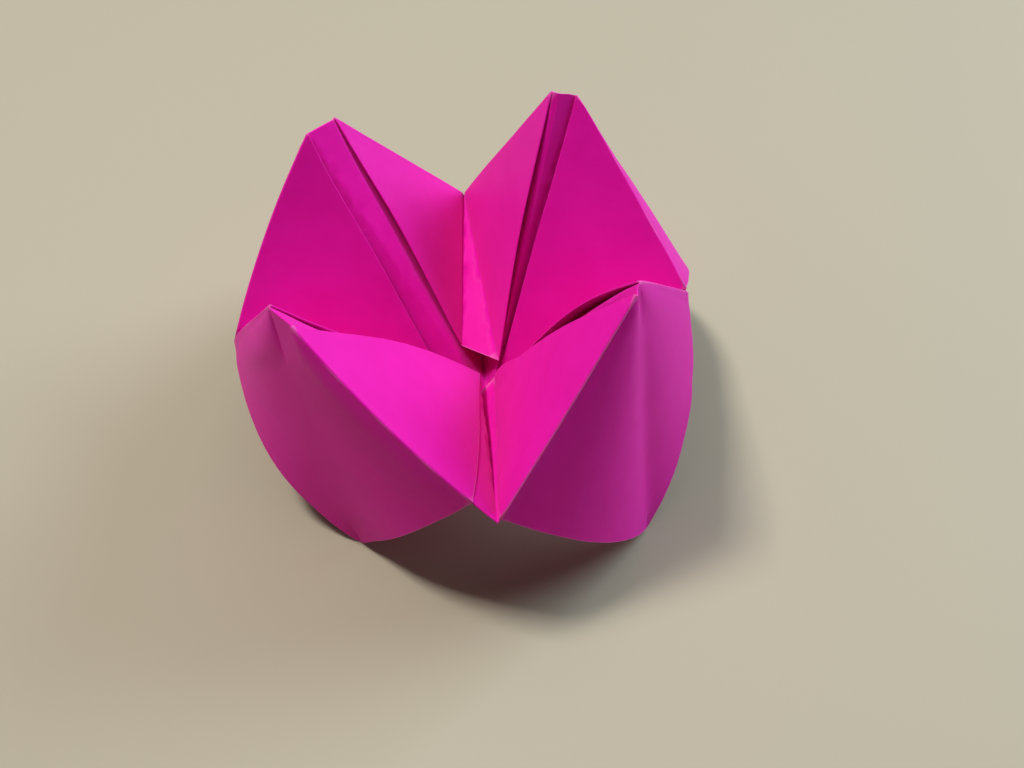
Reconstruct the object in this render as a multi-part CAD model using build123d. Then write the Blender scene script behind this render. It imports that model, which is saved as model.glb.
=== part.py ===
from build123d import *
from math import acos, atan2, cos, pi, radians, sin, sqrt
import os

# Paper fortune teller: one square sheet, its corners folded behind to the middle, then the corners of
# the smaller square folded to the front. It stands on the sheet's four corners with its mouth half open.
# Everything is one sheet, so the model is one closed solid with two skins, bent at each fold.

# The sheet
sheet_side = 216.0
paper_thickness = 0.12
layer_pitch = 0.25
quarter = sheet_side / 4

# The valleys run from the centre point out to the middle of each side: direction seen from above
# (0 is right, 90 is back) and climb, in degrees.
centre_height = 8.8
left_heading, left_climb = 180.0, 22.7
back_heading, back_climb = 97.7, 22.3
right_heading, right_climb = 14.1, 31.7
front_heading, front_climb = -86.3, 29.7

# The feet are the sheet's corners, which rest on the table: across and away, as parts of a quarter side.
back_left_foot = (-0.96, 0.92)
back_right_foot = (0.683, 0.911)
front_right_foot = (0.679, -0.508)
front_left_foot = (-0.522, -0.588)

# Folding errors. Slip is how far the end of a flap's fold lies off the ideal tip, towards the tip's
# own side. Overhang is how far a petal's corner fold lies beyond the ideal line. Twist turns a tip.
back_left_slips, back_left_overhang, back_left_twist = (4.0, 0.2), -0.7, 1.6
back_right_slips, back_right_overhang, back_right_twist = (0.3, 2.3), -1.6, 2.3
front_right_slips, front_right_overhang, front_right_twist = (0.5, 1.1), -0.2, 0.5
front_left_slips, front_left_overhang, front_left_twist = (2.1, 6.2), 3.6, -1.7
tip_squeeze = 0.97

# The ends of the inner flaps, one for each petal that a flap lies on: how far the end is from the
# centre point along the valley, its distance from the valley's middle, and its height over the valley.
left_flap_on_front, left_flap_on_back = (13.0, 1.4, 4.6), (13.0, 1.4, 4.6)
back_flap_on_left, back_flap_on_right = (13.1, 4.2, 9.8), (8.3, 4.2, 9.8)
right_flap_on_back, right_flap_on_front = (5.0, 1.4, 3.8), (5.0, 1.4, 3.8)
front_flap_on_right, front_flap_on_left = (5.0, 2.7, 8.5), (5.0, 1.0, 10.9)

# How far the flap's crease lies under the middle of its end. The back flap bridges its valley flat.
left_crease_depth, back_crease_depth, right_crease_depth, front_crease_depth = 1.6, 0.1, 1.4, 2.0

# How far each flap's folded edges arch
left_bow, back_bow, right_bow, front_bow = 0.8, 1.0, 0.8, 2.5

# The outer end of each valley lies this far out for its flat length, as the paper bows or gives there
left_reach, back_reach, right_reach, front_reach = 1.02, 1.0, 0.975, 1.0

flap_facets = 8
pocket_facets = 28

# Where the sheet's own edge crosses a flap's fold, measured from the middle of that fold.
edge_offset = 1.3
front_left_edge_offset = 7.3

# The pockets' free edges arch. This turns the arch from straight out of the pocket towards its tip,
# in degrees.
plain_arch_turn = 0.0
front_left_arch_turn = 43.0
front_right_arch_turn = 22.0

# How round the folds between neighbouring layers are, from 0 for a flat strip to 1 for half a circle,
# and into how many strips each fold is bent
fold_roundness = 0.8
tip_roundness = 0.7
fold_strips = 4

# Searches by halving: how many steps they take, and the turns of half a petal about its valley, in
# radians, that hold every answer
search_steps = 50
least_turn, usual_turn, most_turn = -0.05, 0.15, 0.4
nearly_straight = 0.9995

ORIGIN = Vector(0, 0, centre_height)
UP = Vector(0, 0, 1)
HALF_SKIN = paper_thickness / 2
WRAP_RADIUS = 1.5 * layer_pitch

VALLEYS = {
    "left": dict(heading=left_heading, climb=left_climb, crease_depth=left_crease_depth,
                 bow=left_bow, reach=left_reach),
    "back": dict(heading=back_heading, climb=back_climb, crease_depth=back_crease_depth,
                 bow=back_bow, reach=back_reach),
    "right": dict(heading=right_heading, climb=right_climb, crease_depth=right_crease_depth,
                  bow=right_bow, reach=right_reach),
    "front": dict(heading=front_heading, climb=front_climb, crease_depth=front_crease_depth,
                  bow=front_bow, reach=front_reach),
}

# Each petal lies between two valleys, first and second when it is seen from above, clockwise.
PETALS = {
    "back_left": dict(valleys=("left", "back"), slips=back_left_slips, overhang=back_left_overhang,
                      twist=back_left_twist, foot=back_left_foot,
                      flap_ends=(left_flap_on_back, back_flap_on_left),
                      edge_offsets=(edge_offset, edge_offset),
                      arch_turns=(plain_arch_turn, plain_arch_turn)),
    "back_right": dict(valleys=("back", "right"), slips=back_right_slips, overhang=back_right_overhang,
                       twist=back_right_twist, foot=back_right_foot,
                       flap_ends=(back_flap_on_right, right_flap_on_back),
                       edge_offsets=(edge_offset, edge_offset),
                       arch_turns=(plain_arch_turn, plain_arch_turn)),
    "front_right": dict(valleys=("right", "front"), slips=front_right_slips,
                        overhang=front_right_overhang, twist=front_right_twist, foot=front_right_foot,
                        flap_ends=(right_flap_on_front, front_flap_on_right),
                        edge_offsets=(edge_offset, edge_offset),
                        arch_turns=(plain_arch_turn, front_right_arch_turn)),
    "front_left": dict(valleys=("front", "left"), slips=front_left_slips,
                       overhang=front_left_overhang, twist=front_left_twist, foot=front_left_foot,
                       flap_ends=(front_flap_on_left, left_flap_on_front),
                       edge_offsets=(front_left_edge_offset, edge_offset),
                       arch_turns=(front_left_arch_turn, plain_arch_turn)),
}


def unit(v):
    return v.normalized()


def across(v, axis):
    """The part of v that is square to axis, as a unit vector."""
    return unit(v - axis * v.dot(axis))


def flat_crossing(a, b, c, d):
    """Where the flat line through a and b meets the one through c and d."""
    run, cut = b - a, d - c
    gap = c - a
    return a + run * ((gap.X * cut.Y - gap.Y * cut.X) / (run.X * cut.Y - run.Y * cut.X))


def three_spheres(p, rp, q, rq, s, rs, towards):
    """The point at given distances from three points, on the side that towards points to."""
    ex = unit(q - p)
    i = ex.dot(s - p)
    ey = unit(s - p - ex * i)
    j = ey.dot(s - p)
    d = (q - p).length
    x = (rp ** 2 - rq ** 2 + d ** 2) / (2 * d)
    y = (rp ** 2 - rs ** 2 + i ** 2 + j ** 2 - 2 * i * x) / (2 * j)
    ez = ex.cross(ey)
    if ez.dot(towards) < 0:
        ez = ez * -1
    return p + ex * x + ey * y + ez * sqrt(max(rp ** 2 - x ** 2 - y ** 2, 0.0))


def arch_half_angle(chord, length):
    """Half the angle of the circular arc that is this long over this chord."""
    ratio = min(chord / length, nearly_straight)
    low, high = 0.0, pi
    for _ in range(search_steps):
        middle = (low + high) / 2
        if sin(middle) > ratio * middle:
            low = middle
        else:
            high = middle
    return low


# The flat sheet. One eighth is drawn with x along its valley and y towards the sheet's corner.
flat = {}
for petal, p in PETALS.items():
    fold_from = Vector(2 * quarter, p["overhang"])
    fold_to = Vector(p["overhang"], 2 * quarter)
    middle = flat_crossing(fold_from, fold_to, Vector(0, 0), Vector(1, 1))
    for side, valley in enumerate(p["valleys"]):
        x = quarter + p["slips"][side]
        share = (x - fold_from.X) / (fold_to.X - fold_from.X)
        flat[petal, valley] = dict(tip=fold_from + (fold_to - fold_from) * share, middle=middle,
                                   fold_from=fold_from)

for valley, v in VALLEYS.items():
    v["petals"] = [petal for petal, p in PETALS.items() if valley in p["valleys"]]
    one, other = (flat[petal, valley]["tip"] for petal in v["petals"])
    v["length"] = flat_crossing(one, Vector(other.X, -other.Y), Vector(0, 0), Vector(1, 0)).X
    for petal in v["petals"]:
        # The sheet's edge beyond the corner fold, from where it crosses the flap's fold to the corner
        corner = Vector(2 * quarter, 2 * quarter)
        fold = unit(flat[petal, valley]["middle"] - flat[petal, valley]["fold_from"])
        gap = corner - flat[petal, valley]["fold_from"]
        folded_corner = flat[petal, valley]["fold_from"] + fold * (2 * gap.dot(fold)) - gap
        start = flat_crossing(flat[petal, valley]["fold_from"], folded_corner,
                              Vector(v["length"], 0), flat[petal, valley]["tip"])
        flat[petal, valley]["edge_length"] = (folded_corner - start).length
    heading, climb = radians(v["heading"]), radians(v["climb"])
    v["axis"] = Vector(cos(climb) * cos(heading), cos(climb) * sin(heading), sin(climb))
    v["end"] = ORIGIN + v["axis"] * (v["length"] * v["reach"])

# The base petals. Each half turns about its valley until the two ends of the petal's tip are as far
# apart as the flat sheet lets them be.
halves = {}
for petal, p in PETALS.items():
    first, second = (VALLEYS[valley] for valley in p["valleys"])
    tips = [flat[petal, valley]["tip"] for valley in p["valleys"]]
    middle = flat[petal, p["valleys"][0]]["middle"]
    crown = three_spheres(ORIGIN, middle.length,
                          first["end"], (middle - Vector(first["length"], 0)).length,
                          second["end"], (middle - Vector(second["length"], 0)).length, UP)
    frames = []
    for v in (first, second):
        rise = across(crown - ORIGIN, v["axis"])
        frames.append((v["axis"], rise, v["axis"].cross(rise)))

    def tip_at(side, turn):
        axis, rise, out = frames[side]
        return ORIGIN + axis * tips[side].X + (rise * cos(turn) + out * sin(turn)) * tips[side].Y

    def tips_at(turn, sense):
        twist = radians(p["twist"])
        return tip_at(0, sense * (turn + twist)), tip_at(1, -sense * (turn - twist))

    def spread(turn, sense):
        one, other = tips_at(turn, sense)
        return (one - other).length

    wanted = tip_squeeze * (tips[0] - Vector(tips[1].Y, tips[1].X)).length
    sense = 1 if spread(usual_turn, 1) > spread(usual_turn, -1) else -1
    low, high = least_turn, most_turn
    for _ in range(search_steps):
        turn = (low + high) / 2
        if spread(turn, sense) < wanted:
            low = turn
        else:
            high = turn
    p["tips"] = tips_at(low, sense)
    outward = (p["tips"][0] + p["tips"][1]) / 2 - ORIGIN
    p["middle"] = three_spheres(ORIGIN, middle.length,
                                p["tips"][0], (middle - tips[0]).length,
                                p["tips"][1], (middle - tips[1]).length,
                                Vector(-outward.X, -outward.Y, 0))
    p["foot_point"] = Vector(p["foot"][0] * quarter, p["foot"][1] * quarter, 0)
    for side, valley in enumerate(p["valleys"]):
        halves[petal, valley] = dict(side=side, tip=p["tips"][side],
                                     edge_length=flat[petal, valley]["edge_length"])

for (petal, valley), h in halves.items():
    v = VALLEYS[valley]
    h["up_slope"] = across(h["tip"] - ORIGIN, v["axis"])
for valley, v in VALLEYS.items():
    one, other = (halves[petal, valley] for petal in v["petals"])
    v["bisector"] = unit(one["up_slope"] + other["up_slope"])
    for h in (one, other):
        normal = v["axis"].cross(h["up_slope"])
        h["inward"] = normal if normal.dot(v["bisector"]) > 0 else normal * -1
    v["sharpness"] = one["inward"].dot(v["bisector"])

# The ends of the flaps, and the ends of their creases
for valley, v in VALLEYS.items():
    ends = []
    for petal in v["petals"]:
        p, h = PETALS[petal], halves[petal, valley]
        shortfall, aside, height = p["flap_ends"][h["side"]]
        sideways = across(h["up_slope"], v["bisector"])
        h["flap_end"] = ORIGIN + v["axis"] * shortfall + sideways * aside + v["bisector"] * height
        ends.append(h["flap_end"])
    between = (ends[0] + ends[1]) / 2 - v["bisector"] * v["crease_depth"]
    beside = v["axis"].cross(v["bisector"])
    v["crease_end"] = between - beside * (between - ORIGIN).dot(beside)
    v["fan_start"] = v["end"] + v["bisector"] * (layer_pitch / v["sharpness"])
    crease = v["crease_end"] - v["fan_start"]
    v["crease_sharpness"] = sum(abs(unit((end - v["fan_start"]).cross(crease)).dot(v["bisector"]))
                                for end in ends) / 2

# The pockets hang from the tips. Each half is part of a cone from its tip to the sheet's free edge,
# which arches so that it keeps its length on the flat sheet.
for (petal, valley), h in halves.items():
    p, v = PETALS[petal], VALLEYS[valley]
    tip, end, foot = h["tip"], v["end"], p["foot_point"]
    h["ridge"] = unit(tip - end)
    h["out"] = across(v["axis"], h["ridge"])
    h["edge_start"] = end + h["ridge"] * p["edge_offsets"][h["side"]]
    chord = foot - h["edge_start"]
    outward = unit(chord.cross(tip - h["edge_start"]))
    if outward.dot(ORIGIN - h["edge_start"]) > 0:
        outward = outward * -1
    tipward = across(tip - h["edge_start"], chord)
    angle = arch_half_angle(chord.length, h["edge_length"])
    rise = h["edge_length"] / (2 * angle) * (1 - cos(angle))
    turn = radians(p["arch_turns"][h["side"]])
    middle = h["edge_start"] + chord / 2 + (outward * cos(turn) + tipward * sin(turn)) * rise
    arch = Edge.make_three_point_arc(h["edge_start"], middle, foot)
    h["free_edge"] = [arch @ (i / pocket_facets) for i in range(pocket_facets + 1)]
    first_run = across(h["free_edge"][1] - h["edge_start"], h["ridge"])
    h["opening"] = atan2(-first_run.dot(h["inward"]), -first_run.dot(h["out"]))
    tip_run = unit(p["middle"] - tip)
    hang = across(foot - p["middle"], tip_run)
    back = across(ORIGIN - p["middle"], tip_run)
    h["tip_opening"] = acos(hang.dot(back))

for petal, p in PETALS.items():
    one, other = (halves[petal, valley] for valley in p["valleys"])
    p["opening"] = (one["tip_opening"] + other["tip_opening"]) / 2

faces = []


def triangle(a, b, c):
    faces.append(Face(Wire.make_polygon([a, b, c], close=True)))


def outline(*runs):
    """A flat face whose outline passes through runs of points that share their ends."""
    points = [point for run in runs for point in run[:-1]]
    faces.append(Face(Wire.make_polygon(points, close=True)))


def strip(ones, others):
    """The band between two runs of points."""
    for i in range(len(ones) - 1):
        triangle(ones[i], others[i], others[i + 1])
        triangle(ones[i], others[i + 1], ones[i + 1])


def band(runs):
    for ones, others in zip(runs, runs[1:]):
        strip(ones, others)


def fold_section(lower, upper, bulge):
    """Points around a fold from its lower layer to its upper one."""
    arc = Edge.make_three_point_arc(lower, (lower + upper) / 2 + bulge, upper)
    return [lower] + [arc @ (i / fold_strips) for i in range(1, fold_strips)] + [upper]


def turned_section(centre_point, radius, out, up, opening):
    """Points around a fold of one radius that stops short of flat by its opening."""
    points = []
    for i in range(fold_strips + 1):
        angle = (pi - opening) * (1 - i / fold_strips)
        points.append(centre_point + out * (radius * sin(angle)) + up * (radius * cos(angle)))
    return points


# Skin 1 is the sheet's front, which the base petals turn to the inside of the mouth. Skin -1 is its back.
lean = sum(h["inward"].dot(UP) for h in halves.values()) / len(halves)
centre = {skin: ORIGIN + UP * (skin * HALF_SKIN / lean) for skin in (1, -1)}

for petal, p in PETALS.items():
    one, other = (halves[petal, valley] for valley in p["valleys"])
    crease = unit(one["inward"] + other["inward"])
    point_out = across(p["middle"] - ORIGIN, crease)
    p["crown"] = {skin: turned_section(p["middle"] - crease * (layer_pitch / 2),
                                       layer_pitch / 2 + skin * HALF_SKIN, point_out, crease, p["opening"])
                  for skin in (1, -1)}

for (petal, valley), h in halves.items():
    p = PETALS[petal]
    n, out, tip = h["inward"], h["out"], h["tip"]
    half_pitch = n * (layer_pitch / 2)
    h["pocket_start"] = turned_section(h["edge_start"] + half_pitch, WRAP_RADIUS, out, n, h["opening"])[0]
    h["pocket_tip"] = turned_section(tip + half_pitch, WRAP_RADIUS, out, n, p["opening"])[0]
    points = [h["pocket_start"]] + h["free_edge"][1:]
    normals = []
    for one, other in zip(points, points[1:]):
        normal = unit((one - h["pocket_tip"]).cross(other - h["pocket_tip"]))
        normals.append(normal if normal.dot(one - ORIGIN) > 0 else normal * -1)
    h["cone_normals"] = normals

for (petal, valley), h in halves.items():
    p, v = PETALS[petal], VALLEYS[valley]
    n, out, tip, end, up = h["inward"], h["out"], h["tip"], v["end"], v["bisector"]
    foot_normal = unit(sum((halves[petal, k]["cone_normals"][-1] for k in p["valleys"]), Vector(0, 0, 0)))
    cone = h["cone_normals"]
    edge_normals = [cone[0]] + [unit(a + b) for a, b in zip(cone, cone[1:])] + [foot_normal]

    # The flap: a fan of flat facets from the inner end of its crease, arched along its folded edge
    fan_start = v["fan_start"]
    flap_tip = tip + n * layer_pitch
    flap_end = h["flap_end"]
    over = unit((flap_tip - fan_start).cross(flap_end - fan_start))
    if over.dot(n) < 0:
        over = over * -1
    fold_line = []
    for i in range(flap_facets + 1):
        share = i / flap_facets
        fold_line.append(flap_tip + (flap_end - flap_tip) * share + over * (v["bow"] * sin(pi * share)))
    crease_end = v["crease_end"]
    rays = [point - fan_start for point in fold_line] + [crease_end - fan_start]
    facet_normals = []
    for one, other in zip(rays, rays[1:]):
        normal = unit(one.cross(other))
        facet_normals.append(normal if normal.dot(n) > 0 else normal * -1)
    normals = [n] + [unit(one + other) for one, other in zip(facet_normals, facet_normals[1:])]
    start_share = p["edge_offsets"][h["side"]] / (tip - end).length
    inner = []
    for i in range(flap_facets + 1):
        share = i / flap_facets
        inner.append(fan_start + rays[i] * (start_share / (1 - share + share * start_share)))

    # The way in which the flap's folded edge bulges at each point
    bulges = [out * -1]
    for i in range(1, flap_facets + 1):
        along = fold_line[min(i + 1, flap_facets)] - fold_line[i - 1]
        away = unit(along.cross(normals[i]))
        bulges.append(away if away.dot(rays[i]) > 0 else away * -1)

    skins = {}
    for skin in (1, -1):
        half = skin * HALF_SKIN
        step = h["ridge"] * half
        base_tip = tip + n * half + step
        base_end = end + up * (half / v["sharpness"])
        flap_start = end + up * ((layer_pitch - half) / v["sharpness"])
        under = [fold_line[0] - n * half + step]
        under += [fold_line[i] - normals[i] * half for i in range(1, flap_facets + 1)]
        under_end = crease_end - up * (half / v["crease_sharpness"])
        on_top = [fold_line[0] + n * (layer_pitch + half) + step]
        on_top += [fold_line[i] + normals[i] * (layer_pitch + half) for i in range(1, flap_facets + 1)]

        # Sections around the folds: the ridge, the flap's edge, the pocket's wrap and the tip
        small = layer_pitch / 2 - half
        large = layer_pitch / 2 + half
        around = WRAP_RADIUS + half
        ridge_runs = [fold_section(base_tip, under[0], out * (fold_roundness * small)),
                      fold_section(base_end, flap_start, v["axis"] * (fold_roundness * small))]
        flap_runs = [fold_section(a, b, q * (fold_roundness * large))
                     for a, b, q in zip(under, on_top, bulges)]
        wrap_runs = [turned_section(tip + n * (layer_pitch / 2) + step, around, out, n, p["opening"]),
                     turned_section(h["edge_start"] + n * (layer_pitch / 2), around, out, n, h["opening"])]
        wrap_runs[0][-1] = on_top[0]
        pocket_tip, pocket_start = wrap_runs[0][0], wrap_runs[1][0]
        gap = base_tip - pocket_tip
        tip_bulge = across(out * gap.dot(n) - n * gap.dot(out), h["ridge"])
        # A tip that stands open has less of a bulge
        bulge = tip_roundness * large * cos(p["opening"]) ** 3
        tip_run = fold_section(pocket_tip, base_tip, tip_bulge * bulge)
        free = [wrap_runs[1][-1]]
        free += [inner[i] + normals[i] * (layer_pitch + half) for i in range(1, flap_facets)]
        free.append(on_top[-1])
        edge = [pocket_start]
        edge += [point + normal * half for point, normal in zip(h["free_edge"][1:], edge_normals[1:])]

        triangle(centre[skin], base_end, base_tip)
        triangle(centre[skin], base_tip, p["crown"][skin][-1])
        for a, b in zip(under, under[1:] + [under_end]):
            triangle(flap_start, a, b)
        triangle(free[0], on_top[0], on_top[1])
        triangle(free[0], on_top[1], free[1])
        for i in range(1, flap_facets):
            triangle(free[i], on_top[i], on_top[i + 1])
            if i < flap_facets - 1:
                triangle(free[i], on_top[i + 1], free[i + 1])
        for a, b in zip(edge, edge[1:]):
            triangle(pocket_tip, a, b)
        triangle(pocket_tip, edge[-1], p["crown"][skin][0])
        band(ridge_runs)
        band(flap_runs)
        band(wrap_runs)
        band([tip_run, p["crown"][skin]])
        outline(tip_run, ridge_runs[0], flap_runs[0], wrap_runs[0][::-1])
        skins[skin] = dict(edge=edge, free=free, blunt=[under[-1], under_end],
                           wrap_end=wrap_runs[-1], flap_end=flap_runs[-1])

    front, back = skins[1], skins[-1]
    for cut in ("edge", "free", "blunt"):
        strip(front[cut], back[cut])
    for cut in ("wrap_end", "flap_end"):
        outline(front[cut] + [back[cut][-1]], back[cut][::-1] + [front[cut][0]])

folded_sheet = Solid(Shell(faces))
box = folded_sheet.bounding_box()
folded_sheet = folded_sheet.moved(Location((-box.center().X, -box.center().Y, -box.min.Z)))
folded_sheet.label = "folded_sheet"

os.makedirs("parts", exist_ok=True)
export_step(folded_sheet, "parts/folded_sheet.step")
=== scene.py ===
# %% [markdown]
# # A paper fortune teller
# A fortune teller is one square sheet of paper. Its corners are folded behind to the middle, then the
# new corners are folded to the front, and fingers in the four pockets open it like a mouth.
# The CAD model has every layer, fold and pocket of that sheet. This file makes it look like paper that
# hands have folded: bowed ridges, slightly uneven faces, fibre, worn creases, and light that shines
# through a single layer.

# %% Load the frame
import math
import bmesh
import bpy
import numpy as np
from mathutils import Matrix, Vector, noise
from mathutils.geometry import intersect_point_line
from mathutils.kdtree import KDTree


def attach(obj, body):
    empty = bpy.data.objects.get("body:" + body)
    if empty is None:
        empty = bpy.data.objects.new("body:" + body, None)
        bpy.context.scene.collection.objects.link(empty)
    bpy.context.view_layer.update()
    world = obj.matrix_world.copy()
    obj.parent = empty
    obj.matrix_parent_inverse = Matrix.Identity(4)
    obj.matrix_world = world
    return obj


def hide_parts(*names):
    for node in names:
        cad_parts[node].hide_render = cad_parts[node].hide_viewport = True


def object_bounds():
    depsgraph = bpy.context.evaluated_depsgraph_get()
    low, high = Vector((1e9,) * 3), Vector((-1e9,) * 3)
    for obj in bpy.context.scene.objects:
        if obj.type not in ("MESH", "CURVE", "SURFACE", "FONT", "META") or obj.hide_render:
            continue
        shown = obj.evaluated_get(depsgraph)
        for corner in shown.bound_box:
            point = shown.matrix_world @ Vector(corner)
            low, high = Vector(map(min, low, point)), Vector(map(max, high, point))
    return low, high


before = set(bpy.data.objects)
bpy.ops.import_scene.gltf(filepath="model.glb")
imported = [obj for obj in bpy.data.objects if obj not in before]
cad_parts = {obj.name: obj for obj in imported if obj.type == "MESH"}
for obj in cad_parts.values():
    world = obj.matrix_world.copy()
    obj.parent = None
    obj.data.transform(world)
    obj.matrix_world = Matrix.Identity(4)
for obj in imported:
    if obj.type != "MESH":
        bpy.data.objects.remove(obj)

MM = 0.001
cad_bounds = [list(corner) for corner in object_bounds()]
print("CAD box", cad_bounds)

# %% [markdown]
# ## Where the petals are
# Each petal has a tip, and one corner of the sheet is its foot. Between two petals runs a valley. The
# places are those of the CAD model, in millimetres, measured from the middle of the footprint. They are
# needed wherever the paper gives way along a line, such as a ridge from a tip to the end of a valley.

# %% Landmarks
CENTRE = (4.6, -4.2, 8.8)
TIPS = {
    "back_left": (-27.8, 24.0, 71.3),
    "back_right": (19.7, 29.4, 74.4),
    "front_right": (32.6, -26.1, 76.3),
    "front_left": (-29.2, -33.8, 73.7),
}
FEET = {
    "back_left": (-47.2, 45.4, 0.0),
    "back_right": (41.5, 44.9, 0.0),
    "front_right": (41.3, -31.7, 0.0),
    "front_left": (-23.6, -36.0, 0.0),
}
VALLEY_ENDS = {
    "left": (-51.0, -4.2, 32.1),
    "back": (-2.1, 45.5, 29.4),
    "right": (49.2, 7.0, 37.2),
    "front": (7.7, -52.4, 36.4),
}
print("petals", len(TIPS), "valleys", len(VALLEY_ENDS))

# %% [markdown]
# ## A copy of the sheet
# The node of the CAD model stays as it is, and a copy of it takes its place in the picture. The node's
# triangles are loose, each with its own three corners. So corners that lie at one place are first
# merged, and then the copy is one closed skin that can bend.

# %% Copy and weld the sheet
WELD = 0.002 * MM

bm = bmesh.new()
bm.from_mesh(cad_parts["folded_sheet"].data)
bmesh.ops.remove_doubles(bm, verts=bm.verts, dist=WELD)
bmesh.ops.triangulate(bm, faces=bm.faces)
print("triangles of the copy", len(bm.faces))

# %% [markdown]
# ## Where the folds and cut edges run
# Paper wears along its folds, and its cut edge is lighter, partly from the paler core and partly from
# a painted highlight where the edge catches the light. While the copy still has the CAD model's few
# large faces, a fold and a cut edge are easy to tell by the angle between two faces, so points along
# them are noted now. The middle of a pocket was only bent by a fingertip, so nothing is noted there.

# %% Note the folds and cut edges
CUT_ANGLE = math.radians(62)
FOLD_ANGLE = math.radians(12)
MARK_SPACING = 0.8 * MM
POCKET_BEND_WIDTH = 2.5
POCKET_BEND_START = 0.12


def on_pocket_bend(point):
    """Whether a point lies on the line down the middle of a pocket, from near its tip to its foot."""
    for petal, tip in TIPS.items():
        near, share = intersect_point_line(point / MM, tip, FEET[petal])
        if (point / MM - near).length < POCKET_BEND_WIDTH and share > POCKET_BEND_START:
            return True
    return False


cut_points, fold_points = [], []
for edge in bm.edges:
    if len(edge.link_faces) != 2 or not edge.is_convex:
        continue
    angle = edge.calc_face_angle()
    if angle < FOLD_ANGLE:
        continue
    start, end = (vertex.co.copy() for vertex in edge.verts)
    marks = cut_points if angle > CUT_ANGLE else fold_points
    if marks is fold_points and on_pocket_bend((start + end) / 2):
        continue
    steps = max(1, int((end - start).length / MARK_SPACING))
    marks.extend(start.lerp(end, i / steps) for i in range(steps + 1))
print("cut marks", len(cut_points), "fold marks", len(fold_points))

# %% [markdown]
# ## A finer sheet
# A flat face of the CAD model needs only a few large triangles, and such a face can't bend. So every
# long edge is halved, the longest edges first, until no edge is longer than a few millimetres. Joining
# the new corners by the shortest lines keeps the triangles from becoming slivers.

# %% Halve the long edges
FIRST_SPLIT = 64.0 * MM
LONGEST_EDGE = 4.0 * MM
TRIANGLE_SIDES = 3

length = FIRST_SPLIT
while length > LONGEST_EDGE / 2:
    limit = max(length, LONGEST_EDGE)
    long_edges = [edge for edge in bm.edges if edge.calc_length() > limit]
    bmesh.ops.subdivide_edges(bm, edges=long_edges, cuts=1)
    many_sided = [face for face in bm.faces if len(face.verts) > TRIANGLE_SIDES]
    bmesh.ops.triangulate(bm, faces=many_sided, quad_method="SHORT_EDGE")
    length /= 2
print("triangles after halving", len(bm.faces))

# %% [markdown]
# ## How far each point is from a fold and from a cut edge
# The material reads two distances, in millimetres, from the mesh. They are stored before the paper is
# bent, so the wear follows the real folds wherever they run.

# %% Store the distances
def nearest_marks(marks):
    tree = KDTree(len(marks))
    for i, mark in enumerate(marks):
        tree.insert(mark, i)
    tree.balance()
    return tree


cut_tree, fold_tree = nearest_marks(cut_points), nearest_marks(fold_points)
cut_layer = bm.verts.layers.float.new("cut_distance")
fold_layer = bm.verts.layers.float.new("fold_distance")
for vertex in bm.verts:
    vertex[cut_layer] = cut_tree.find(vertex.co)[2] / MM
    vertex[fold_layer] = fold_tree.find(vertex.co)[2] / MM

mesh = bpy.data.meshes.new("folded_sheet_paper")
bm.to_mesh(mesh)
bm.free()
mesh.update()
paper = bpy.data.objects.new("folded_sheet_paper", mesh)
bpy.context.scene.collection.objects.link(paper)
print("points with distances", len(mesh.vertices))

# %% [markdown]
# ## Softer than the CAD model
# Real paper bends two ways at once where hands have pressed it, which the CAD model's flat and conical
# faces don't. A sculptor would push the mesh by hand. Here five fields give each point a small move
# instead, so that every move can be read and changed. All of them work in millimetres, and most of
# them measure how far a point lies from a line, such as a ridge.
# The fields for the ridges and the unevenness change so little across the sheet's thickness that its
# two skins stay apart. The other three change faster, and with them some triangles of the sheet cross.

# %% Lines and directions
def unit(vector):
    return vector / np.linalg.norm(vector)


def along_line(points, start, end):
    """How far along a line each point lies, from 0 to 1, and its offset from the line."""
    start, end = np.array(start), np.array(end)
    run = end - start
    share = (points - start) @ run / (run @ run)
    offset = points - start - np.clip(share, 0, 1)[:, None] * run
    return share, offset


def from_line(points, start, end):
    return np.linalg.norm(along_line(points, start, end)[1], axis=1)


print("first ridge in mm", round(math.dist(TIPS["back_left"], VALLEY_ENDS["left"]), 1))

# %% [markdown]
# ### Ridges that bow
# A petal's ridge runs from its tip to the end of a valley. The layers folded inside it push it
# outward, most in its middle. Two ridges on the left of the photo bow most. The move fades with the
# distance from the ridge, so the faces beside it bend with it.

# %% Bowed ridges
BOWS = {
    ("back_left", "left"): 1.7,
    ("back_left", "back"): 0.3,
    ("back_right", "back"): 0.3,
    ("back_right", "right"): 0.4,
    ("front_right", "right"): 0.6,
    ("front_right", "front"): 0.4,
    ("front_left", "front"): 1.7,
    ("front_left", "left"): 0.7,
}
BOW_REACH = 12.0


def bowed_ridges(points):
    moved = np.zeros_like(points)
    for (petal, valley), height in BOWS.items():
        tip, end = np.array(TIPS[petal]), np.array(VALLEY_ENDS[valley])
        share, offset = along_line(points, tip, end)
        ridge = unit(end - tip)
        outward = (tip + end) / 2 - np.array(CENTRE)
        outward[2] = 0
        outward = unit(outward - ridge * (outward @ ridge))
        near = np.exp(-(offset ** 2).sum(axis=1) / BOW_REACH ** 2)
        moved += (height * np.sin(math.pi * np.clip(share, 0, 1)) * near)[:, None] * outward
    return moved


print("ridges that bow", len(BOWS))

# %% [markdown]
# ### Smooth pockets
# The CAD model's pocket has two straight bends from its tip to its foot, with a flat strip between. A
# fingertip leaves a round bulge there. So around every point of a pocket a plane is fitted to its
# neighbours, near ones counting most, and the point moves onto that plane. A longer reach gives a
# smoother pocket. The front left pocket shows no bend at all, and the front right one shows the most.
# Near a ridge the move fades away, so the fold there stays sharp. Only every third point counts as a
# neighbour, and the points are worked through in parts, so that it needs little time and memory.
# The neighbours come from both skins of the sheet, and so both skins are drawn onto one surface. The
# paper loses most of its thickness there, and its skins cross. It would be better to fit the surface
# halfway between the skins and to keep each skin at its own distance from it.

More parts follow.
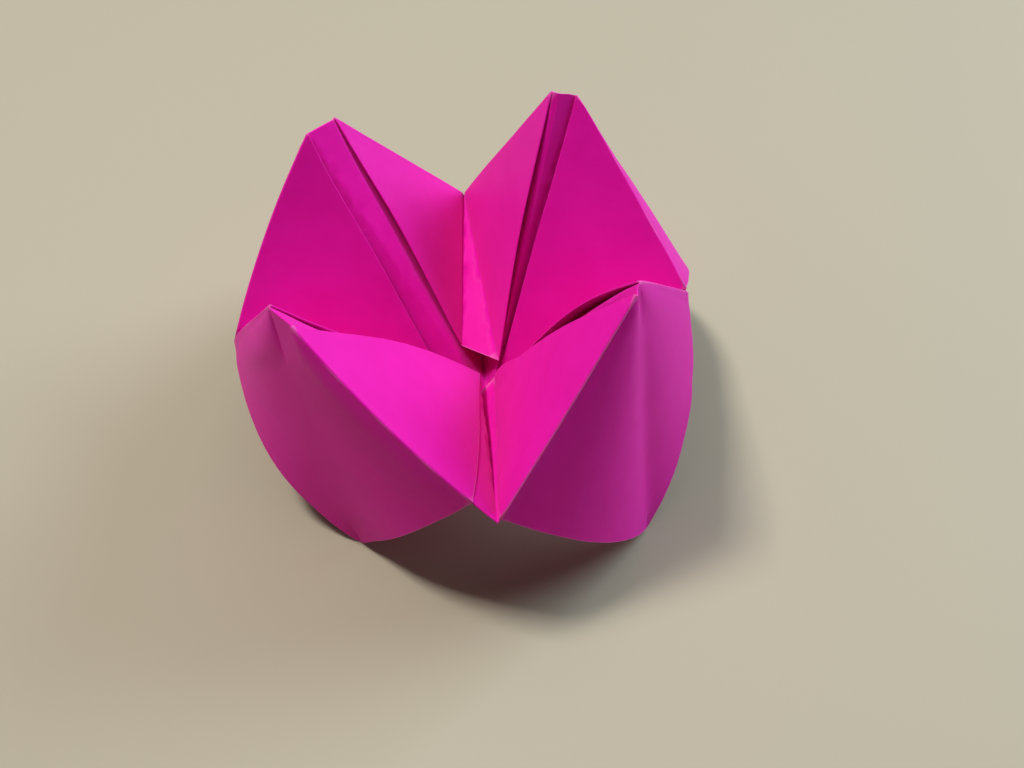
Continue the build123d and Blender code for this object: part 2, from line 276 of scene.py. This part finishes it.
# %% Smooth pockets
POCKET_SMOOTHING = {"back_left": 3.0, "back_right": 3.0, "front_right": 2.0, "front_left": 7.0}
POCKET_START = 0.6
POCKET_HALF_WIDTH = 40.0
RIDGE_FADE_START, RIDGE_FADE_END = 1.0, 8.0
SAMPLE_STEP = 3
PART_SIZE = 1000
STEADY = 1e-6


def pocket_directions(petal):
    """A pocket's tip, the ends of its ridges, and its directions along, across and outward."""
    tip = np.array(TIPS[petal])
    ends = [np.array(VALLEY_ENDS[valley]) for name, valley in BOWS if name == petal]
    outward = unit(np.cross(ends[0] - tip, ends[1] - tip))
    if outward @ (tip - np.array(CENTRE)) < 0:
        outward = -outward
    run = unit(ends[0] - tip)
    return tip, ends, run, np.cross(outward, run), outward


def to_fitted_plane(places, samples, reach):
    """How far outward of each place a plane lies that is fitted to the samples around it."""
    apart = samples[None, :, :] - places[:, None, :]
    run, side, rise = apart[:, :, 0], apart[:, :, 1], apart[:, :, 2]
    weight = np.exp(-(run ** 2 + side ** 2 + rise ** 2) / (2 * reach ** 2))
    terms = np.stack([np.ones_like(run), run, side])
    square = np.einsum("apq,bpq,pq->pab", terms, terms, weight) + STEADY * np.eye(3)
    target = np.einsum("apq,pq,pq->pa", terms, rise, weight)
    return np.linalg.solve(square, target[:, :, None])[:, 0, 0]


def smoothed_pockets(points):
    moved = np.zeros_like(points)
    for petal, reach in POCKET_SMOOTHING.items():
        tip, ends, run, side, outward = pocket_directions(petal)
        places = np.stack([points @ run, points @ side, (points - tip) @ outward], axis=1)
        from_ridges = np.min([from_line(points, tip, end) for end in ends], axis=0)
        from_middle = from_line(points, tip, FEET[petal])
        chosen = np.flatnonzero((places[:, 2] > POCKET_START) & (from_middle < POCKET_HALF_WIDTH))
        samples = places[chosen[::SAMPLE_STEP]]
        for part in np.array_split(chosen, 1 + len(chosen) // PART_SIZE):
            fitted = to_fitted_plane(places[part], samples, reach)
            past_ridge = (from_ridges[part] - RIDGE_FADE_START) / (RIDGE_FADE_END - RIDGE_FADE_START)
            share = np.clip(past_ridge, 0, 1)
            moved[part] += (fitted * share ** 2 * (3 - 2 * share))[:, None] * outward
        print(petal, "pocket points", len(chosen), "largest move", round(float(abs(moved[chosen]).max()), 2))
    return moved


# %% [markdown]
# ### A flap that stands off
# On the front right petal, the far flap isn't pressed flat. It swings up about its ridge, so its folded
# edge shows behind the near flap, with a dark slot between. Its points are found by their height over
# the base triangle that the flap lies on. The limit rises with the distance from the valley, because the
# next petal's paper is close at the valley too, and has to stay where it is.

# %% Lifted flap
LIFTED_PETAL, LIFTED_SIDE, OTHER_SIDE = "front_right", "right", "front"
LIFT = 3.2
LIFT_SKEW = 0.75
ABOVE_BASE = 0.13
FLAP_ROOM, FLAP_SLOPE = 1.0, 0.35
SIDE_FADE = 1.0
VALLEY_START, VALLEY_FADE = 1.2, 6.0
TINY = 1e-6


def lifted_flap(points):
    centre, tip = np.array(CENTRE), np.array(TIPS[LIFTED_PETAL])
    end, other_end = np.array(VALLEY_ENDS[LIFTED_SIDE]), np.array(VALLEY_ENDS[OTHER_SIDE])
    off_base = unit(np.cross(tip - centre, end - centre))
    if off_base @ (other_end - tip) > 0:
        off_base = -off_base
    height = (points - centre) @ off_base
    to_valley = from_line(points, centre, end)
    on_flap = (height > ABOVE_BASE) & (height < FLAP_ROOM + FLAP_SLOPE * to_valley)

    share, offset = along_line(points, tip, centre)
    crease = unit(centre - tip)
    away = end - other_end
    away = unit(away - crease * (away @ crease))
    this_side = np.clip((offset @ away) / SIDE_FADE, 0, 1)

    to_ridge = from_line(points, tip, end)
    to_crease = np.linalg.norm(offset - np.outer(offset @ off_base, off_base), axis=1)
    swing = to_ridge / (to_ridge + to_crease + TINY)
    swing *= np.clip((to_valley - VALLEY_START) / VALLEY_FADE, 0, 1)
    along = np.sin(math.pi * np.clip(share, 0, 1) ** LIFT_SKEW)
    return (on_flap * this_side * LIFT * swing * along)[:, None] * off_base


print("lifted flap", LIFTED_PETAL, "by up to", LIFT, "mm")

# %% [markdown]
# ### The front crease
# The front flap lies folded in the front valley. Its crease is deeper than its two folded edges, and
# closer to the left one. The crease sinks least at its outer end, where the ridges meet.

# %% Sunk front crease
FRONT_CREASE_START = (4.0, -4.8, 18.0)
CREASE_WIDTH = 2.4
CREASE_SINK, CREASE_ROOM, CREASE_LEAN = 3.0, 4.8, 0.6
NARROWEST = 0.01
TO_THE_RIGHT = (1.0, 0.0, 0.0)


def sunk_crease(points):
    inner, outer = np.array(FRONT_CREASE_START), np.array(VALLEY_ENDS["front"])
    share, offset = along_line(points, inner, outer)
    rest = 1 - np.clip(share, 0, 1)
    near = np.clip(1 - np.linalg.norm(offset, axis=1) / (CREASE_WIDTH * rest + NARROWEST), 0, 1)
    depth = np.minimum(CREASE_SINK, CREASE_ROOM * rest)
    down = unit(np.cross(outer - inner, TO_THE_RIGHT))
    down = down if down[2] < 0 else -down
    return (near * depth)[:, None] * (down - CREASE_LEAN * np.array(TO_THE_RIGHT))


print("front crease sinks by up to", CREASE_SINK, "mm")

# %% [markdown]
# ### Slow unevenness
# No face of a folded sheet is quite flat. A smooth noise with waves of a few centimetres moves each
# point by a fraction of a millimetre. Without a seed the noise would start from the clock, so it is
# given one, and each run makes the same sheet. With this seed no point has to be held back at the
# edge of the CAD model's box.

# %% Slow unevenness
UNEVENNESS = 0.22
UNEVEN_LENGTH = 24.0
UNEVEN_SEED = 10


def slow_unevenness(points):
    noise.seed_set(UNEVEN_SEED)
    waves = np.array([noise.noise_vector(Vector(point) / UNEVEN_LENGTH) for point in points])
    return UNEVENNESS * waves


print("unevenness", UNEVENNESS, "mm")

# %% [markdown]
# ## Bend the paper
# The five moves are added up. Near the table they fade to nothing, so that the feet stay where they
# stand, and no point leaves the box of the CAD model.

# %% Bend the paper
STILL_NEAR_TABLE = 8.0

points = np.empty(len(mesh.vertices) * 3)
mesh.vertices.foreach_get("co", points)
points = points.reshape(-1, 3) / MM
low, high = (np.array(corner) / MM for corner in cad_bounds)
move = bowed_ridges(points) + smoothed_pockets(points)
move += lifted_flap(points) + sunk_crease(points) + slow_unevenness(points)
move *= np.clip(points[:, 2:] / STILL_NEAR_TABLE, 0, 1)
points = np.clip(points + move, low, high)
mesh.vertices.foreach_set("co", (points * MM).ravel())
mesh.update()
print("largest move in mm", round(float(np.linalg.norm(move, axis=1).max()), 2))

# %% [markdown]
# ## Smooth faces, crisp cut edges
# A fold is a narrow strip between two broad faces. If each face counts by its area, the broad faces
# stay evenly lit up to the fold, and only the narrow strip looks round.

# %% Shade the sheet
SHARP_ANGLE = math.radians(55)

for polygon in mesh.polygons:
    polygon.use_smooth = True
mesh.set_sharp_from_angle(angle=SHARP_ANGLE)
weighting = paper.modifiers.new("count_faces_by_area", "WEIGHTED_NORMAL")
weighting.mode = "FACE_AREA"
weighting.keep_sharp = True
shaded = bpy.data.meshes.new_from_object(paper.evaluated_get(bpy.context.evaluated_depsgraph_get()))
paper.modifiers.clear()
paper.data = shaded
bpy.data.meshes.remove(mesh)
shaded.name = "folded_sheet_paper"
print("shaded triangles", len(shaded.polygons))

# %% [markdown]
# ## Shader tools
# Small helpers that keep the node trees below short: one makes a node and sets its inputs, one makes a
# node group. A group gives a mask, a colour or a height, so it can be tried in any other material.
# The colour mixer has sockets for every kind of value, and its colour ones are known by number.

# %% Node helpers
FIRST_COLOUR, SECOND_COLOUR, MIXED_COLOUR = 6, 7, 2


def make_node(tree, kind, inputs=None, **settings):
    node = tree.nodes.new(kind)
    for key, value in settings.items():
        setattr(node, key, value)
    for key, value in (inputs or {}).items():
        if isinstance(value, bpy.types.NodeSocket):
            tree.links.new(value, node.inputs[key])
        else:
            node.inputs[key].default_value = value
    return node


def math_node(tree, operation, a, b):
    return make_node(tree, "ShaderNodeMath", {0: a, 1: b}, operation=operation).outputs[0]


def fade(tree, value, start, end):
    """1 where the value is at start, 0 at end and beyond, smooth between."""
    node = make_node(tree, "ShaderNodeMapRange",
                     {"Value": value, "From Min": start, "From Max": end, "To Min": 1.0, "To Max": 0.0},
                     interpolation_type="SMOOTHSTEP")
    return node.outputs["Result"]


def noise_node(tree, place, scale, detail=2.0, roughness=0.5, distortion=0.0):
    node = make_node(tree, "ShaderNodeTexNoise",
                     {"Vector": place, "Scale": scale, "Detail": detail, "Roughness": roughness,
                      "Distortion": distortion})
    return node.outputs["Fac"]


def mix_colour(tree, share, one, other):
    node = make_node(tree, "ShaderNodeMix", {0: share}, data_type="RGBA")
    for socket, value in ((node.inputs[FIRST_COLOUR], one), (node.inputs[SECOND_COLOUR], other)):
        if isinstance(value, bpy.types.NodeSocket):
            tree.links.new(value, socket)
        else:
            socket.default_value = (*value, 1.0)
    return node.outputs[MIXED_COLOUR]


def shader_group(name, inputs, outputs):
    tree = bpy.data.node_groups.new(name, "ShaderNodeTree")
    for socket in inputs:
        kind = "NodeSocketVector" if socket == "Place" else "NodeSocketFloat"
        tree.interface.new_socket(name=socket, in_out="INPUT", socket_type=kind)
    for socket in outputs:
        tree.interface.new_socket(name=socket, in_out="OUTPUT", socket_type="NodeSocketFloat")
    return tree, tree.nodes.new("NodeGroupInput"), tree.nodes.new("NodeGroupOutput")


print("node helpers ready")

# %% [markdown]
# ### Fibre
# Copy paper is a felt of short fibres. From a step away it shows as a fine grain, with slightly larger
# clouds where the pulp lay thicker. The same clouds take the dye a little differently. The scales say
# how many waves of a noise lie in a millimetre.

# %% Fibre group
GRAIN_PER_MM, FLOCK_PER_MM, CLOUDS_PER_MM = 2.6, 0.9, 0.11
GRAIN_SHARE, FLOCK_SHARE = 0.65, 0.35


def make_fibre_group():
    tree, given, result = shader_group("paper_fibre", ["Place"], ["Height", "Cloud"])
    place = given.outputs["Place"]
    grain = noise_node(tree, place, GRAIN_PER_MM, detail=3.0, roughness=0.65, distortion=0.6)
    flock = noise_node(tree, place, FLOCK_PER_MM)
    height = math_node(tree, "ADD", math_node(tree, "MULTIPLY", grain, GRAIN_SHARE),
                       math_node(tree, "MULTIPLY", flock, FLOCK_SHARE))
    cloud = noise_node(tree, place, CLOUDS_PER_MM, detail=5.0, roughness=0.6)
    tree.links.new(height, result.inputs["Height"])
    tree.links.new(cloud, result.inputs["Cloud"])
    return tree


fibre_group = make_fibre_group()
print("group", fibre_group.name)

# %% [markdown]
# ### Wear and painted edge highlight
# Where paper is folded its dyed fibres break, and the paler core shows in a broken line. A cut edge
# is paler all along, partly from its core and partly from a painted highlight where the edge catches
# the light. Around a fold, small dents show where nails and fingertips pressed it flat.

# %% Wear and edge highlight group
BREAKS_PER_MM, DENTS_PER_MM = 0.8, 0.33
BREAK_START, BREAK_END = 0.62, 0.40
FOLD_LINE_START, FOLD_LINE_END, FOLD_PALENESS = 0.05, 0.4, 0.06
# Along a cut edge the paleness is partly the paler core and partly a painted highlight.
CUT_LINE_START, CUT_LINE_END, CUT_PALENESS_AND_HIGHLIGHT = 0.05, 0.3, 0.45
PRESSED_START, PRESSED_END = 0.6, 5.0


def make_wear_and_edge_highlight_group():
    tree, given, result = shader_group(
        "paper_wear_and_edge_highlight", ["Place", "Fold Distance", "Cut Distance"], ["Pale", "Dents"])
    place, from_fold = given.outputs["Place"], given.outputs["Fold Distance"]
    broken = noise_node(tree, place, BREAKS_PER_MM, detail=4.0, roughness=0.7)
    broken = fade(tree, broken, BREAK_START, BREAK_END)
    fold_line = fade(tree, from_fold, FOLD_LINE_START, FOLD_LINE_END)
    fold_line = math_node(tree, "MULTIPLY", fold_line, broken)
    # The line along a cut edge is partly the paler core and partly a painted highlight.
    cut_line = fade(tree, given.outputs["Cut Distance"], CUT_LINE_START, CUT_LINE_END)
    pale = math_node(tree, "MAXIMUM", math_node(tree, "MULTIPLY", fold_line, FOLD_PALENESS),
                     math_node(tree, "MULTIPLY", cut_line, CUT_PALENESS_AND_HIGHLIGHT))
    pressed = fade(tree, from_fold, PRESSED_START, PRESSED_END)
    dents = noise_node(tree, place, DENTS_PER_MM, detail=3.0, distortion=0.8)
    dents = math_node(tree, "MULTIPLY", dents, pressed)
    tree.links.new(pale, result.inputs["Pale"])
    tree.links.new(dents, result.inputs["Dents"])
    return tree


wear_and_edge_highlight_group = make_wear_and_edge_highlight_group()
print("group", wear_and_edge_highlight_group.name)

# %% [markdown]
# ### The pink paper
# The paper is dyed right through in a hot pink. Its surface is matt with a faint sheen that picks up
# the light of the room, and some light gets through it, always redder than it came.

# %% Paper material
PINK = (0.93, 0.008, 0.49)
DEEP_PINK = (0.90, 0.006, 0.46)
# Paler pink of the core, along worn folds, and along cut edges, where it is partly a painted highlight.
PALE_CORE_AND_EDGE_HIGHLIGHT = (0.95, 0.22, 0.58)
LIGHT_THROUGH = (0.92, 0.01, 0.22)
SHARE_THROUGH = 0.19
CLOUD_START, CLOUD_END = 0.65, 0.35
SMOOTHEST, FIBRE_ROUGHNESS = 0.45, 0.2
PAPER_GLOSS, PAPER_SHEEN, SHEEN_ROUGHNESS = 0.12, 0.05, 0.5
DENT_STRENGTH, DENT_DEPTH = 0.3, 0.3 * MM
GRAIN_STRENGTH, GRAIN_DEPTH = 0.35, 0.06 * MM


def new_material(name):
    material = bpy.data.materials.new(name)
    material.use_nodes = True
    material.node_tree.nodes.clear()
    return material, material.node_tree


def add_paper_patterns(tree):
    """Place the fibre group and the group for wear and painted edge highlight, which read places in
    millimetres and the stored distances.
    """
    where = make_node(tree, "ShaderNodeTexCoord").outputs["Object"]
    place = make_node(tree, "ShaderNodeVectorMath", {0: where, "Scale": 1 / MM}, operation="SCALE").outputs[0]
    from_fold = make_node(tree, "ShaderNodeAttribute", attribute_name="fold_distance").outputs["Fac"]
    from_cut = make_node(tree, "ShaderNodeAttribute", attribute_name="cut_distance").outputs["Fac"]
    fibre = make_node(tree, "ShaderNodeGroup", node_tree=fibre_group)
    tree.links.new(place, fibre.inputs["Place"])
    wear_and_highlight = make_node(tree, "ShaderNodeGroup", node_tree=wear_and_edge_highlight_group)
    for socket, value in (("Place", place), ("Fold Distance", from_fold), ("Cut Distance", from_cut)):
        tree.links.new(value, wear_and_highlight.inputs[socket])
    return fibre, wear_and_highlight


def make_paper_material():
    material, tree = new_material("pink_paper")
    fibre, wear_and_highlight = add_paper_patterns(tree)
    cloud = fade(tree, fibre.outputs["Cloud"], CLOUD_START, CLOUD_END)
    dyed = mix_colour(tree, cloud, DEEP_PINK, PINK)
    # Paler along worn folds, and along cut edges, where the paleness is partly a painted highlight.
    colour = mix_colour(tree, wear_and_highlight.outputs["Pale"], dyed, PALE_CORE_AND_EDGE_HIGHLIGHT)
    dented = make_node(tree, "ShaderNodeBump",
                       {"Strength": DENT_STRENGTH, "Distance": DENT_DEPTH, "Height": wear_and_highlight.outputs["Dents"]})
    grain = make_node(tree, "ShaderNodeBump",
                      {"Strength": GRAIN_STRENGTH, "Distance": GRAIN_DEPTH,
                       "Height": fibre.outputs["Height"], "Normal": dented.outputs["Normal"]})
    fibre_share = math_node(tree, "MULTIPLY", fibre.outputs["Height"], FIBRE_ROUGHNESS)
    roughness = math_node(tree, "ADD", fibre_share, SMOOTHEST)
    surface = make_node(tree, "ShaderNodeBsdfPrincipled",
                        {"Base Color": colour, "Roughness": roughness, "Specular IOR Level": PAPER_GLOSS,
                         "Sheen Weight": PAPER_SHEEN, "Sheen Roughness": SHEEN_ROUGHNESS,
                         "Normal": grain.outputs["Normal"]})
    through = make_node(tree, "ShaderNodeBsdfTranslucent",
                        {"Color": (*LIGHT_THROUGH, 1.0), "Normal": grain.outputs["Normal"]})
    both = make_node(tree, "ShaderNodeMixShader",
                     {0: SHARE_THROUGH, 1: surface.outputs[0], 2: through.outputs[0]})
    make_node(tree, "ShaderNodeOutputMaterial", {"Surface": both.outputs[0]})
    return material


shaded.materials.append(make_paper_material())
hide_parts("folded_sheet")
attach(paper, "root")
print("material", shaded.materials[0].name)

# %% [markdown]
# ## Table
# A plain pale surface. It is slightly warm, as a light wooden table is, because the pockets face down
# and take their light from it.

# %% Floor
FLOOR_HALF = 3.0
FLOOR_COLOUR = (0.42, 0.375, 0.27)
FLOOR_ROUGHNESS, FLOOR_GLOSS = 0.6, 0.3

floor_mesh = bpy.data.meshes.new("floor")
corners = [(x * FLOOR_HALF, y * FLOOR_HALF, 0.0) for x, y in ((-1, -1), (1, -1), (1, 1), (-1, 1))]
floor_mesh.from_pydata(corners, [], [(0, 1, 2, 3)])
floor = bpy.data.objects.new("floor", floor_mesh)
bpy.context.scene.collection.objects.link(floor)
floor_material, floor_tree = new_material("floor")
matt = make_node(floor_tree, "ShaderNodeBsdfPrincipled",
                 {"Base Color": (*FLOOR_COLOUR, 1.0), "Roughness": FLOOR_ROUGHNESS,
                  "Specular IOR Level": FLOOR_GLOSS})
make_node(floor_tree, "ShaderNodeOutputMaterial", {"Surface": matt.outputs[0]})
floor_mesh.materials.append(floor_material)
print("floor side in m", 2 * FLOOR_HALF)

# %% [markdown]
# ## Light
# A lamp high on the left gives the soft shadow on the right, and a large cool window on the right
# brightens what faces it. Only weak light, from the ceiling, a wall on the left and the room around,
# reaches the faces that look to the front. Each light is a square, given by its place, its side, its
# power and its colour, and looks at the middle of the paper.

# %% Lights
LIGHTS = {
    "left_lamp": ((-0.40, 0.09, 1.12), 0.20, 10.5, (1.0, 0.97, 0.96)),
    "window": ((0.98, 0.52, 0.69), 0.80, 16.5, (0.70, 0.84, 1.0)),
    "ceiling": ((0.0, 0.3, 1.3), 1.0, 4.0, (1.0, 0.98, 0.98)),
    "left_wall": ((-1.2, -0.1, 0.25), 0.80, 1.7, (1.0, 0.93, 0.90)),
}
MIDDLE_OF_PAPER = (0.0, 0.0, 0.04)
ROOM_COLOUR = (1.0, 0.95, 0.92, 1.0)
ROOM_STRENGTH = 0.04

for name, (place, side, power, colour) in LIGHTS.items():
    light_data = bpy.data.lights.new(name, "AREA")
    light_data.shape = "SQUARE"
    light_data.size = side
    light_data.energy = power
    light_data.color = colour
    light = bpy.data.objects.new(name, light_data)
    bpy.context.scene.collection.objects.link(light)
    aim = Vector(MIDDLE_OF_PAPER) - Vector(place)
    light.matrix_world = Matrix.Translation(place) @ aim.to_track_quat("-Z", "Y").to_matrix().to_4x4()

world = bpy.data.worlds.new("room")
bpy.context.scene.world = world
world.use_nodes = True
sky = world.node_tree.nodes["Background"]
sky.inputs["Color"].default_value = ROOM_COLOUR
sky.inputs["Strength"].default_value = ROOM_STRENGTH
print("lights", len(LIGHTS))

# %% [markdown]
# ## Camera
# The camera stands above the front and looks down by about 53 degrees, as in the photo. Its place, its
# tilt and its lens were found by fitting the folded sheet's corners to the corners in the photo.

# %% Camera
CAMERA_PLACE = (0.01024, -0.17183, 0.23821)
PITCH_DOWN, ROLL = 0.9203, 0.0095
LENS_PIXELS, IMAGE_WIDTH = 1200.0, 1024
SENSOR_WIDTH = 36.0
NEAREST_SEEN = 0.01

forward = Vector((0, math.cos(PITCH_DOWN), -math.sin(PITCH_DOWN)))
right = Vector((1, 0, 0))
above = right.cross(forward)
camera_right = right * math.cos(ROLL) + above * math.sin(ROLL)
camera_up = above * math.cos(ROLL) - right * math.sin(ROLL)
camera_data = bpy.data.cameras.new("camera")
camera_data.sensor_width = SENSOR_WIDTH
camera_data.lens = SENSOR_WIDTH * LENS_PIXELS / IMAGE_WIDTH
camera_data.clip_start = NEAREST_SEEN
camera = bpy.data.objects.new("camera", camera_data)
bpy.context.scene.collection.objects.link(camera)
turn = Matrix((camera_right, camera_up, -forward)).transposed().to_4x4()
camera.matrix_world = Matrix.Translation(CAMERA_PLACE) @ turn
bpy.context.scene.camera = camera
bpy.context.scene.view_settings.view_transform = "Standard"
print("lens in mm", round(camera_data.lens, 2))
